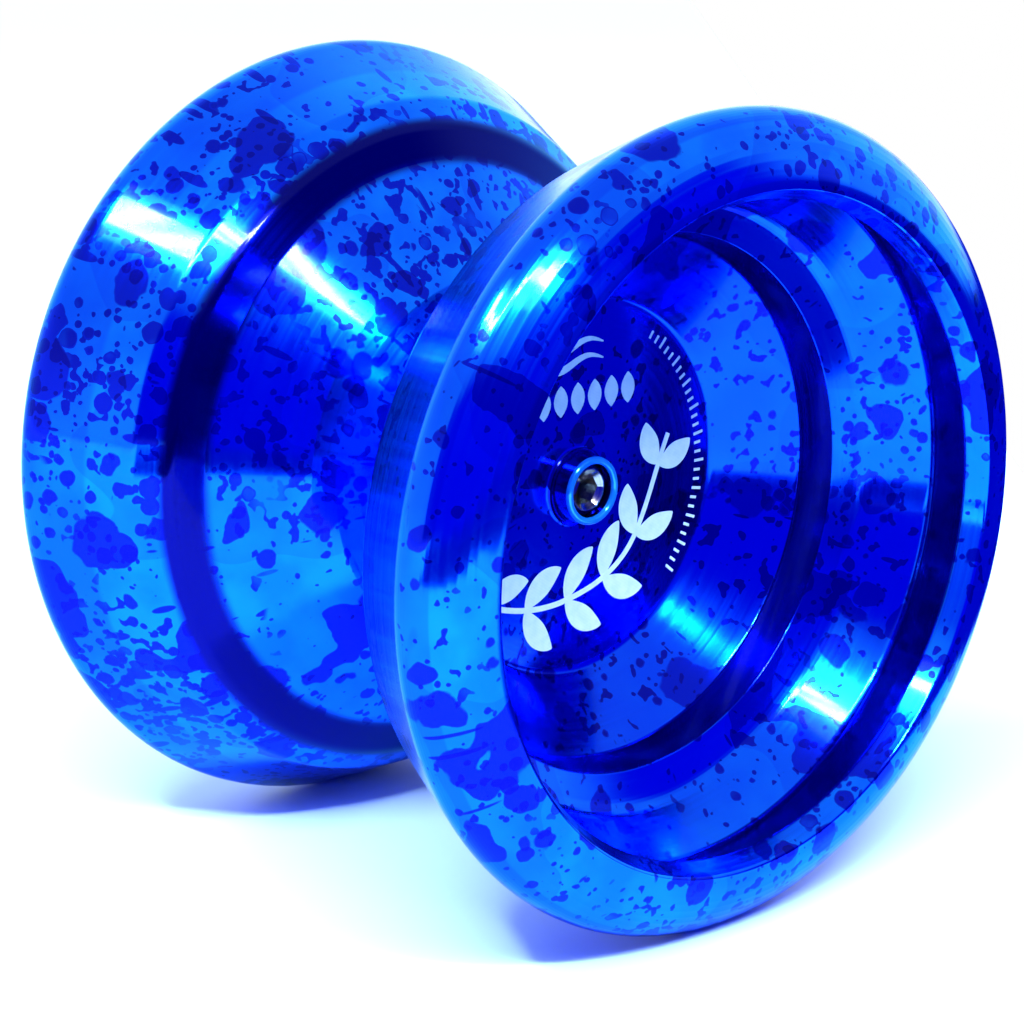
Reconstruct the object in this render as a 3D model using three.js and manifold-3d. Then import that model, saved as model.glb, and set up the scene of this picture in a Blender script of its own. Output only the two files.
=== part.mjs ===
// A full-size metal yo-yo, built as it comes apart on the bench: two machined halves screwed onto a
// threaded axle, with a shielded ball bearing between them and a silicone response pad in each half.
// Millimetres. The axle lies along X, +Z is up, and the origin is the middle of the bearing.

import * as THREE from 'three';
import * as BufferGeometryUtils from 'three/addons/utils/BufferGeometryUtils.js';
import Module from 'manifold-3d';

// Overall size
const RIM_RADIUS = 28.4;
const HALF_WIDTH = 23.3;
const STRING_GAP = 4.6;

// Rim of a half
const CORNER_X = 20.1;
const RIM_INNER_RADIUS = 24.7;
const RIM_INNER_X = 12.1;
const CROWN_RADIUS = 25.8;
const CROWN_X = 22.7;
const RIDGE_OUTER_RADIUS = 23.7;
const RIDGE_INNER_RADIUS = 23;
const LIP_RADIUS = 22.2;
const LIP_X = 21.8;
const UNDERCUT_RADIUS = 24.1;
const UNDERCUT_X = 17.4;

// Catch zone: the dished face that the string winds against, and the groove where it meets the rim
const GAP_FACE_RADIUS = 9.9;
const CATCH_BEND_RADIUS = 13.4;
const CATCH_BEND_X = 3.9;
const CATCH_EDGE_RADIUS = 20.6;
const CATCH_EDGE_X = 9.3;
const GROOVE_RADIUS = 22.9;
const GROOVE_X = 10.3;

// Cup: the stepped hollow in the outer side of a half
const LEDGE_RADIUS = 21.0;
const LEDGE_X = 13.5;
const STEP_RADIUS = 18.65;
const STEP_X = 12.6;
const FLOOR_RADIUS = 18.25;
const FLOOR_X = 9.8;
const DISC_RADIUS = 13.2;
const DISC_X = 5.7;
const BOSS_RADIUS = 2.4;
const BOSS_X = 7.6;
const MOUTH_RADIUS = 1.88;
const MOUTH_DEPTH = 0.5;

// Axle: an M4 set screw
const AXLE_RADIUS = 2;
const AXLE_LENGTH = 14;
const AXLE_CHAMFER = 0.5;
const SOCKET_ACROSS_FLATS = 2;
const SOCKET_DEPTH = 2;
const BORE_RADIUS = 2.1;

// Bearing: a quarter-inch bore, half-inch outside, three-sixteenths wide, with sixteenth-inch balls
const BEARING_BORE_RADIUS = 3.175;
const BEARING_RADIUS = 6.35;
const BEARING_WIDTH = 4.76;
const BALL_RADIUS = 0.794;
const BALL_COUNT = 8;
const PITCH_RADIUS = (BEARING_BORE_RADIUS + BEARING_RADIUS) / 2;
const GROOVE_CLEARANCE = 0.05;
const INNER_SHOULDER_RADIUS = 4.25;
const OUTER_SHOULDER_RADIUS = 5.28;
const COUNTERBORE_RADIUS = 5.85;
const COUNTERBORE_X = 1.8;
const SHIELD_INNER_RADIUS = 4.4;
const SHIELD_THICKNESS = 0.2;
const SNAP_RING_THICKNESS = 0.25;
const SNAP_RING_WIDTH = 0.4;
const SNAP_RING_OPENING = THREE.MathUtils.degToRad(24);
const CAGE_INNER_RADIUS = 4.42;
const CAGE_OUTER_RADIUS = 5.1;
const CAGE_HALF_WIDTH = 1.15;
const POCKET_RADIUS = 0.88;

// Seat that each half holds the bearing by
const SEAT_RADIUS = 3.12;
const SEAT_REACH = 0.2;
const SHOULDER_RADIUS = 3.85;
const POCKET_WALL_RADIUS = 6.65;
const POCKET_FLOOR_X = 2.6;

// Response pads
const PAD_INNER_RADIUS = 7.1;
const PAD_OUTER_RADIUS = 9.5;
const PAD_GROOVE_DEPTH = 1;
const PAD_THICKNESS = 0.9;
const PAD_CLEARANCE = 0.05;

// Gap left between parts that touch, and how finely round shapes are faceted
const FIT = 0.03;
const HALF_SEGMENTS = 56;
const BEARING_SEGMENTS = 40;
const AXLE_SEGMENTS = 24;
const BALL_SEGMENTS = 12;
const BALL_RINGS = 8;
const TRACK_STEPS = 4;
const RING_SEGMENTS = 36;
const ARC_STEP = THREE.MathUtils.degToRad(32);

const wasm = await Module();
wasm.setup();

const anodised = { color: 0x0a6cff, roughness: 0.22, metalness: 0.85 };
const bearingSteel = { color: 0xc4c8cc, roughness: 0.25, metalness: 1 };
const darkSteel = { color: 0x8b8f94, roughness: 0.35, metalness: 1 };
const cageSteel = { color: 0xa9adb1, roughness: 0.4, metalness: 1 };
const silicone = { color: 0xe9eaee, roughness: 0.7, metalness: 0 };

const yoyo = new THREE.Group();

// Outlines are closed lists of [radius, x, rounding]. Walked in order, the material is on the left.

function roundedOutline(corners) {
  const places = corners.map(([radius, x]) => new THREE.Vector2(radius, x));
  const points = [];
  corners.forEach(([, , rounding], i) => {
    const corner = places[i];
    if (rounding === 0) {
      points.push(corner);
      return;
    }
    const before = places.at(i - 1).clone().sub(corner).normalize();
    const after = places[(i + 1) % places.length].clone().sub(corner).normalize();
    points.push(...filletPoints(corner, before, after, rounding));
  });
  return points;
}

function filletPoints(corner, before, after, rounding) {
  const opening = Math.acos(THREE.MathUtils.clamp(before.dot(after), -1, 1));
  const turn = Math.PI - opening;
  const reach = rounding / Math.tan(opening / 2);
  const bisector = before.clone().add(after).normalize();
  const centre = bisector.multiplyScalar(rounding / Math.sin(opening / 2)).add(corner);
  const start = before.clone().multiplyScalar(reach).add(corner);
  const side = Math.sign(before.clone().negate().cross(after));
  const steps = Math.max(1, Math.round(turn / ARC_STEP));
  const points = [];
  for (let step = 0; step <= steps; step += 1) {
    points.push(start.clone().rotateAround(centre, (side * turn * step) / steps));
  }
  return points;
}

// Turns an outline about the X axis, with a flat facet straight down
function turned(outline, segments) {
  const loop = [...outline, outline[0]];
  const geometry = new THREE.LatheGeometry(loop, segments, Math.PI / segments);
  return geometry.rotateZ(-Math.PI / 2);
}

function addPiece(name, geometry, finish) {
  const mesh = new THREE.Mesh(geometry, new THREE.MeshStandardMaterial(finish));
  mesh.name = name;
  yoyo.add(mesh);
  return mesh;
}

function toSolid(geometry) {
  const bare = geometry.clone();
  bare.deleteAttribute('normal');
  bare.deleteAttribute('uv');
  const merged = BufferGeometryUtils.mergeVertices(bare, 1e-4);
  return new wasm.Manifold(new wasm.Mesh({
    numProp: 3,
    vertProperties: merged.attributes.position.array,
    triVerts: new Uint32Array(merged.index.array),
  }));
}

function toGeometry(solid) {
  const mesh = solid.getMesh();
  const geometry = new THREE.BufferGeometry();
  geometry.setAttribute('position', new THREE.BufferAttribute(mesh.vertProperties, 3));
  geometry.setIndex(new THREE.BufferAttribute(mesh.triVerts, 1));
  geometry.computeVertexNormals();
  return geometry;
}

// Paired pieces are drawn on the +X side, and side -1 turns one round to the -X side
function faceSide(mesh, side) {
  mesh.rotation.z = side > 0 ? 0 : Math.PI;
}

// Section of a half, from the screw hole out to the rim and back across the cup to the boss

function halfOutline() {
  const face = STRING_GAP / 2;
  const padFloor = face + PAD_GROOVE_DEPTH;
  const bearingSide = BEARING_WIDTH / 2 + FIT;
  return roundedOutline([
    [MOUTH_RADIUS, BOSS_X, 0.1],
    [MOUTH_RADIUS, BOSS_X - MOUTH_DEPTH, 0],
    [BORE_RADIUS, BOSS_X - MOUTH_DEPTH, 0],
    [BORE_RADIUS, SEAT_REACH, 0],
    [SEAT_RADIUS, SEAT_REACH, 0.3],
    [SEAT_RADIUS, bearingSide, 0],
    [SHOULDER_RADIUS, bearingSide, 0],
    [SHOULDER_RADIUS, POCKET_FLOOR_X, 0],
    [POCKET_WALL_RADIUS, POCKET_FLOOR_X, 0],
    [POCKET_WALL_RADIUS, face, 0],
    [PAD_INNER_RADIUS, face, 0],
    [PAD_INNER_RADIUS, padFloor, 0],
    [PAD_OUTER_RADIUS, padFloor, 0],
    [PAD_OUTER_RADIUS, face, 0],
    [GAP_FACE_RADIUS, face, 0],
    [CATCH_BEND_RADIUS, CATCH_BEND_X, 16],
    [CATCH_EDGE_RADIUS, CATCH_EDGE_X, 0.3],
    [GROOVE_RADIUS, GROOVE_X, 1.6],
    [RIM_INNER_RADIUS, RIM_INNER_X, 1.3],
    [RIM_RADIUS, CORNER_X, 2.2],
    [CROWN_RADIUS, CROWN_X, 6],
    [RIDGE_OUTER_RADIUS, HALF_WIDTH, 2],
    [RIDGE_INNER_RADIUS, HALF_WIDTH, 0.3],
    [LIP_RADIUS, LIP_X, 0.25],
    [UNDERCUT_RADIUS, UNDERCUT_X, 0.8],
    [LEDGE_RADIUS, LEDGE_X, 2.5],
    [STEP_RADIUS, STEP_X, 0],
    [FLOOR_RADIUS, FLOOR_X, 0.4],
    [DISC_RADIUS, DISC_X, 0.8],
    [BOSS_RADIUS, DISC_X, 0.5],
    [BOSS_RADIUS, BOSS_X, 0.15],
  ]);
}

function addHalf(name, side) {
  const half = addPiece(name, turned(halfOutline(), HALF_SEGMENTS), anodised);
  faceSide(half, side);
}

function addAxle() {
  const end = AXLE_LENGTH / 2;
  const shank = [
    [0, -end],
    [AXLE_RADIUS - AXLE_CHAMFER, -end],
    [AXLE_RADIUS, -end + AXLE_CHAMFER],
    [AXLE_RADIUS, end - AXLE_CHAMFER],
    [AXLE_RADIUS - AXLE_CHAMFER, end],
    [0, end],
  ].map(([radius, x]) => new THREE.Vector2(radius, x));
  const screw = new THREE.LatheGeometry(shank, AXLE_SEGMENTS).rotateZ(-Math.PI / 2);
  const cornerRadius = SOCKET_ACROSS_FLATS / 2 / Math.cos(Math.PI / 6);
  const key = new THREE.CylinderGeometry(cornerRadius, cornerRadius, 2 * SOCKET_DEPTH, 6);
  key.rotateZ(-Math.PI / 2).translate(end, 0, 0);
  addPiece('axle', toGeometry(toSolid(screw).subtract(toSolid(key))), darkSteel);
}

// Arc that a ball track cuts into a race's shoulder, walked towards +X for direction 1 and -X for -1
function trackPoints(shoulderRadius, direction) {
  const trackRadius = BALL_RADIUS + GROOVE_CLEARANCE;
  const rise = Math.abs(PITCH_RADIUS - shoulderRadius);
  const halfAngle = Math.acos(rise / trackRadius);
  const outward = Math.sign(shoulderRadius - PITCH_RADIUS);
  const points = [];
  for (let step = 0; step <= TRACK_STEPS; step += 1) {
    const angle = direction * halfAngle * ((2 * step) / TRACK_STEPS - 1);
    const radius = PITCH_RADIUS + outward * trackRadius * Math.cos(angle);
    points.push([radius, trackRadius * Math.sin(angle), 0]);
  }
  return points;
}

function addInnerRace() {
  const side = BEARING_WIDTH / 2;
  const outline = roundedOutline([
    [BEARING_BORE_RADIUS, side, 0],
    [BEARING_BORE_RADIUS, -side, 0],
    [INNER_SHOULDER_RADIUS, -side, 0],
    ...trackPoints(INNER_SHOULDER_RADIUS, 1),
    [INNER_SHOULDER_RADIUS, side, 0],
  ]);
  addPiece('bearing_inner_race', turned(outline, BEARING_SEGMENTS), bearingSteel);
}

function addOuterRace() {
  const side = BEARING_WIDTH / 2;
  const outline = roundedOutline([
    [BEARING_RADIUS, -side, 0.3],
    [BEARING_RADIUS, side, 0.3],
    [COUNTERBORE_RADIUS, side, 0],
    [COUNTERBORE_RADIUS, COUNTERBORE_X, 0],
    [OUTER_SHOULDER_RADIUS, COUNTERBORE_X, 0],
    ...trackPoints(OUTER_SHOULDER_RADIUS, -1),
    [OUTER_SHOULDER_RADIUS, -COUNTERBORE_X, 0],
    [COUNTERBORE_RADIUS, -COUNTERBORE_X, 0],
    [COUNTERBORE_RADIUS, -side, 0],
  ]);
  addPiece('bearing_outer_race', turned(outline, BEARING_SEGMENTS), bearingSteel);
}

function ballPlace(index) {
  const angle = (2 * Math.PI * index) / BALL_COUNT;
  return new THREE.Vector3(0, -PITCH_RADIUS * Math.sin(angle), PITCH_RADIUS * Math.cos(angle));
}

function addBalls() {
  for (let index = 0; index < BALL_COUNT; index += 1) {
    const geometry = new THREE.SphereGeometry(BALL_RADIUS, BALL_SEGMENTS, BALL_RINGS);
    geometry.rotateZ(-Math.PI / 2);
    const ball = addPiece(`bearing_ball_${index + 1}`, geometry, bearingSteel);
    ball.position.copy(ballPlace(index));
  }
}

function addCage() {
  const outline = roundedOutline([
    [CAGE_INNER_RADIUS, CAGE_HALF_WIDTH, 0],
    [CAGE_INNER_RADIUS, -CAGE_HALF_WIDTH, 0],
    [CAGE_OUTER_RADIUS, -CAGE_HALF_WIDTH, 0],
    [CAGE_OUTER_RADIUS, CAGE_HALF_WIDTH, 0],
  ]);
  let cage = toSolid(turned(outline, BEARING_SEGMENTS));
  for (let index = 0; index < BALL_COUNT; index += 1) {
    const place = ballPlace(index);
    const pocket = new THREE.SphereGeometry(POCKET_RADIUS, BALL_SEGMENTS, BALL_RINGS);
    pocket.translate(place.x, place.y, place.z);
    cage = cage.subtract(toSolid(pocket));
  }
  addPiece('bearing_cage', toGeometry(cage), cageSteel);
}

function addShield(name, side) {
  const inner = COUNTERBORE_X + FIT;
  const outline = roundedOutline([
    [SHIELD_INNER_RADIUS, inner + SHIELD_THICKNESS, 0],
    [SHIELD_INNER_RADIUS, inner, 0],
    [COUNTERBORE_RADIUS - FIT, inner, 0],
    [COUNTERBORE_RADIUS - FIT, inner + SHIELD_THICKNESS, 0],
  ]);
  const shield = addPiece(name, turned(outline, BEARING_SEGMENTS), darkSteel);
  faceSide(shield, side);
}

// Open ring of flat wire that holds a shield in its counterbore
function addSnapRing(name, side) {
  const outer = COUNTERBORE_RADIUS - FIT;
  const start = SNAP_RING_OPENING / 2;
  const end = 2 * Math.PI - start;
  const shape = new THREE.Shape();
  shape.absarc(0, 0, outer, start, end, false);
  shape.absarc(0, 0, outer - SNAP_RING_WIDTH, end, start, true);
  const settings = { depth: SNAP_RING_THICKNESS, bevelEnabled: false, curveSegments: RING_SEGMENTS };
  const inner = COUNTERBORE_X + SHIELD_THICKNESS + 2 * FIT;
  const geometry = new THREE.ExtrudeGeometry(shape, settings);
  geometry.rotateY(Math.PI / 2).translate(inner, 0, 0);
  const ring = addPiece(name, geometry, darkSteel);
  faceSide(ring, side);
}

function addResponsePad(name, side) {
  const floor = STRING_GAP / 2 + PAD_GROOVE_DEPTH - PAD_CLEARANCE;
  const inner = PAD_INNER_RADIUS + PAD_CLEARANCE;
  const outer = PAD_OUTER_RADIUS - PAD_CLEARANCE;
  const outline = roundedOutline([
    [inner, floor, 0],
    [inner, floor - PAD_THICKNESS, 0.2],
    [outer, floor - PAD_THICKNESS, 0.2],
    [outer, floor, 0],
  ]);
  const pad = addPiece(name, turned(outline, HALF_SEGMENTS), silicone);
  faceSide(pad, side);
}

addHalf('left_half', -1);
addHalf('right_half', 1);
addAxle();
addInnerRace();
addOuterRace();
addBalls();
addCage();
addShield('bearing_shield_left', -1);
addShield('bearing_shield_right', 1);
addSnapRing('snap_ring_left', -1);
addSnapRing('snap_ring_right', 1);
addResponsePad('response_pad_left', -1);
addResponsePad('response_pad_right', 1);

export default yoyo;
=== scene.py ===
import math

import bmesh
import bpy
from mathutils import Matrix, Vector


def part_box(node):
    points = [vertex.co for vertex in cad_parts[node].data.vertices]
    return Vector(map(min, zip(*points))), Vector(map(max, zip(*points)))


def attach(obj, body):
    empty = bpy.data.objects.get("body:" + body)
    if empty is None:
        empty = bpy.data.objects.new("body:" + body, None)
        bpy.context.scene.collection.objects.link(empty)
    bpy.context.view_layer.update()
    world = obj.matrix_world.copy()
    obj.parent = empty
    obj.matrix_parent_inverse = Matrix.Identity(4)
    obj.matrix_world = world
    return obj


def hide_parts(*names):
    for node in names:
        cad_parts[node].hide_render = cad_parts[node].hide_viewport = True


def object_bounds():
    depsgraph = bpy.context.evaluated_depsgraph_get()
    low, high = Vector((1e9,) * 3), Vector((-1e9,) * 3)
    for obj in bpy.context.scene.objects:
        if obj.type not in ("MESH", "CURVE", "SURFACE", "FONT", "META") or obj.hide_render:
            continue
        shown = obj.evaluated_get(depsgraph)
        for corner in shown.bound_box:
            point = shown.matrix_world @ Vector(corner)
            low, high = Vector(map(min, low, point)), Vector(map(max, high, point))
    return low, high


# Looks of a full-size metal yo-yo: two turned, blue-anodised and splattered halves, a shielded ball
# bearing between them, silicone pads, and a threaded axle. The axle lies along X. Lengths are in
# millimetres and are scaled to metres when a mesh is made, except those of the studio, which are in
# metres. Angles are in degrees.

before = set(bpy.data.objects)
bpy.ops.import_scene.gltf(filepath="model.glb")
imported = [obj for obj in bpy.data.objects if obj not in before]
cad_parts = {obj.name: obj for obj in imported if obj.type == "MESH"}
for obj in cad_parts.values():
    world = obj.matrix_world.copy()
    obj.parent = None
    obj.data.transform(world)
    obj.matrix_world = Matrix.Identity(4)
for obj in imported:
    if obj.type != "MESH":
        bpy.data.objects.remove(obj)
cad_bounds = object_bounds()

MM = 0.001
RIGHT, LEFT = 1, -1

# Half, as radius and distance along the axle from the middle
HALF_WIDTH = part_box("right_half")[1].x / MM
SEAT_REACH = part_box("right_half")[0].x / MM
STRING_FACE = 2.3
RIM_RADIUS, CORNER_X = 28.4, 20.1
RIM_INNER_RADIUS, RIM_INNER_X = 24.7, 12.1
CROWN_RADIUS, CROWN_X = 25.8, 22.7
RIDGE_OUTER_RADIUS, RIDGE_INNER_RADIUS = 23.7, 23.0
LIP_RADIUS, LIP_X = 22.2, 21.8
UNDERCUT_RADIUS, UNDERCUT_X = 24.1, 17.4
GAP_FACE_RADIUS = 9.9
CATCH_BEND_RADIUS, CATCH_BEND_X = 13.4, 3.9
CATCH_EDGE_RADIUS, CATCH_EDGE_X = 20.6, 9.3
GROOVE_RADIUS, GROOVE_X = 22.9, 10.3
LEDGE_RADIUS, LEDGE_X = 21.0, 13.5
STEP_RADIUS, STEP_X = 18.65, 12.6
FLOOR_RADIUS, FLOOR_X = 18.25, 9.8
DISC_RADIUS, DISC_X = 13.2, 5.7
BOSS_RADIUS, BOSS_X = 2.4, 7.6
MOUTH_RADIUS, MOUTH_DEPTH = 1.88, 0.5
BORE_RADIUS = 2.1
SEAT_RADIUS = 3.12
SHOULDER_RADIUS = 3.85
POCKET_WALL_RADIUS, POCKET_FLOOR_X = 6.65, 2.6
PAD_INNER_RADIUS, PAD_OUTER_RADIUS = 7.1, 9.5
PAD_GROOVE_DEPTH = 1.0

# Bearing and axle
BEARING_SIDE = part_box("bearing_inner_race")[1].x / MM
BEARING_BORE_RADIUS = 3.175
BEARING_RADIUS = 6.35
PITCH_RADIUS = (BEARING_BORE_RADIUS + BEARING_RADIUS) / 2
BALL_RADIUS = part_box("bearing_ball_1")[1].x / MM
BALL_COUNT = 8
TRACK_RADIUS = BALL_RADIUS + 0.05
INNER_SHOULDER_RADIUS = 4.25
OUTER_SHOULDER_RADIUS = 5.28
COUNTERBORE_RADIUS, COUNTERBORE_X = 5.85, 1.8
SHIELD_INNER_RADIUS, SHIELD_THICKNESS = 4.4, 0.2
AXLE_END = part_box("axle")[1].x / MM
AXLE_RADIUS = 2.0
AXLE_MINOR_RADIUS = 1.6
AXLE_CHAMFER = 0.5
THREAD_PITCH = 0.7
SOCKET_APOTHEM = 1.0
SOCKET_DEPTH = 2.0
COUNTERSINK_RADIUS, COUNTERSINK_DEPTH = 1.42, 0.3
FIT = 0.03

# Thin parts of the bearing
SHIELD_DISH = 0.06
SNAP_RING_OPENING = 24
SNAP_WIRE_RADIUS, SNAP_WIRE_FLATTENING = 0.12, 1.4
CAGE_HALF_WIDTH, CAGE_INNER_RADIUS, CAGE_OUTER_RADIUS = 1.15, 4.42, 5.1
CAGE_WINDOW_RADIUS = 0.86

# Mesh fineness
HALF_SEGMENTS, RING_SEGMENTS, BEARING_SEGMENTS = 240, 160, 128
FILLET_STEP = 7
SHARP_ANGLE = 32

# Camera: it looks from the right, a little above, at the middle of the yo-yo moved right and up in
# the frame's own plane by VIEW_SLIDE
VIEW_AZIMUTH, VIEW_ELEVATION = 47.3, 15.94
VIEW_DISTANCE = 248.75
VIEW_SLIDE = (-0.494, -2.943)
VIEW_LENS, SENSOR_WIDTH = 124.8, 36


# ---------------------------------------------------------------- outlines and meshes

def fillet(before, corner, after, rounding):
    """Points of the arc that rounds a corner of an outline."""
    a = (before - corner).normalized()
    b = (after - corner).normalized()
    opening = math.acos(max(-1, min(1, a.dot(b))))
    turn = math.pi - opening
    centre = corner + (a + b).normalized() * rounding / math.sin(opening / 2)
    start = corner + a * rounding / math.tan(opening / 2) - centre
    side = 1 if a.x * b.y - a.y * b.x < 0 else -1
    steps = max(2, math.ceil(turn / math.radians(FILLET_STEP)))
    points = []
    for i in range(steps + 1):
        angle = side * turn * i / steps
        cosine, sine = math.cos(angle), math.sin(angle)
        arm = Vector((start.x * cosine - start.y * sine, start.x * sine + start.y * cosine))
        points.append(centre + arm)
    return points


def rounded(corners, hold=0.06):
    """A closed outline from [radius, x, rounding] corners, with support points beside each arc."""
    count = len(corners)
    places = [Vector(c[:2]) for c in corners]
    points = []
    for i, (radius, x, rounding) in enumerate(corners):
        if rounding:
            points.extend(fillet(places[i - 1], places[i], places[(i + 1) % count], rounding))
        else:
            points.append(places[i])
    held = []
    for i, point in enumerate(points):
        following = points[(i + 1) % len(points)]
        held.append(point)
        run = following - point
        if run.length > 4 * hold:
            held.append(point + run.normalized() * hold)
            held.append(following - run.normalized() * hold)
    return held


def finish_mesh(name, bm, side=RIGHT, sharp=SHARP_ANGLE):
    """Turns a bmesh in millimetres into an object in metres, facing +X or turned round to face -X."""
    for vertex in bm.verts:
        x, y, z = vertex.co * MM
        vertex.co = (x * side, y * side, z)
    bmesh.ops.recalc_face_normals(bm, faces=bm.faces)
    mesh = bpy.data.meshes.new(name)
    bm.to_mesh(mesh)
    bm.free()
    mesh.shade_smooth()
    mesh.set_sharp_from_angle(angle=math.radians(sharp))
    piece = bpy.data.objects.new(name, mesh)
    bpy.context.scene.collection.objects.link(piece)
    return piece


def turn_solid(bm, outline, segments):
    """Turns a closed outline of (radius, x) about the X axis into bm."""
    rings = []
    for i in range(segments):
        angle = 2 * math.pi * i / segments
        sine, cosine = math.sin(angle), math.cos(angle)
        rings.append([bm.verts.new((x, radius * sine, radius * cosine)) for radius, x in outline])
    count = len(outline)
    for i in range(segments):
        ring, following = rings[i], rings[(i + 1) % segments]
        for j in range(count):
            k = (j + 1) % count
            bm.faces.new((ring[j], ring[k], following[k], following[j]))


def turned(name, outline, segments, side=RIGHT):
    bm = bmesh.new()
    turn_solid(bm, outline, segments)
    return finish_mesh(name, bm, side)


def place(piece, body, slot, material, *replaced):
    """Gives a piece its material and body, and hides the CAD nodes that it stands for. The slot is not
    used.
    """
    piece.data.materials.append(material)
    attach(piece, body)
    if replaced:
        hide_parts(*replaced)
    return piece


# ---------------------------------------------------------------- materials

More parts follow.
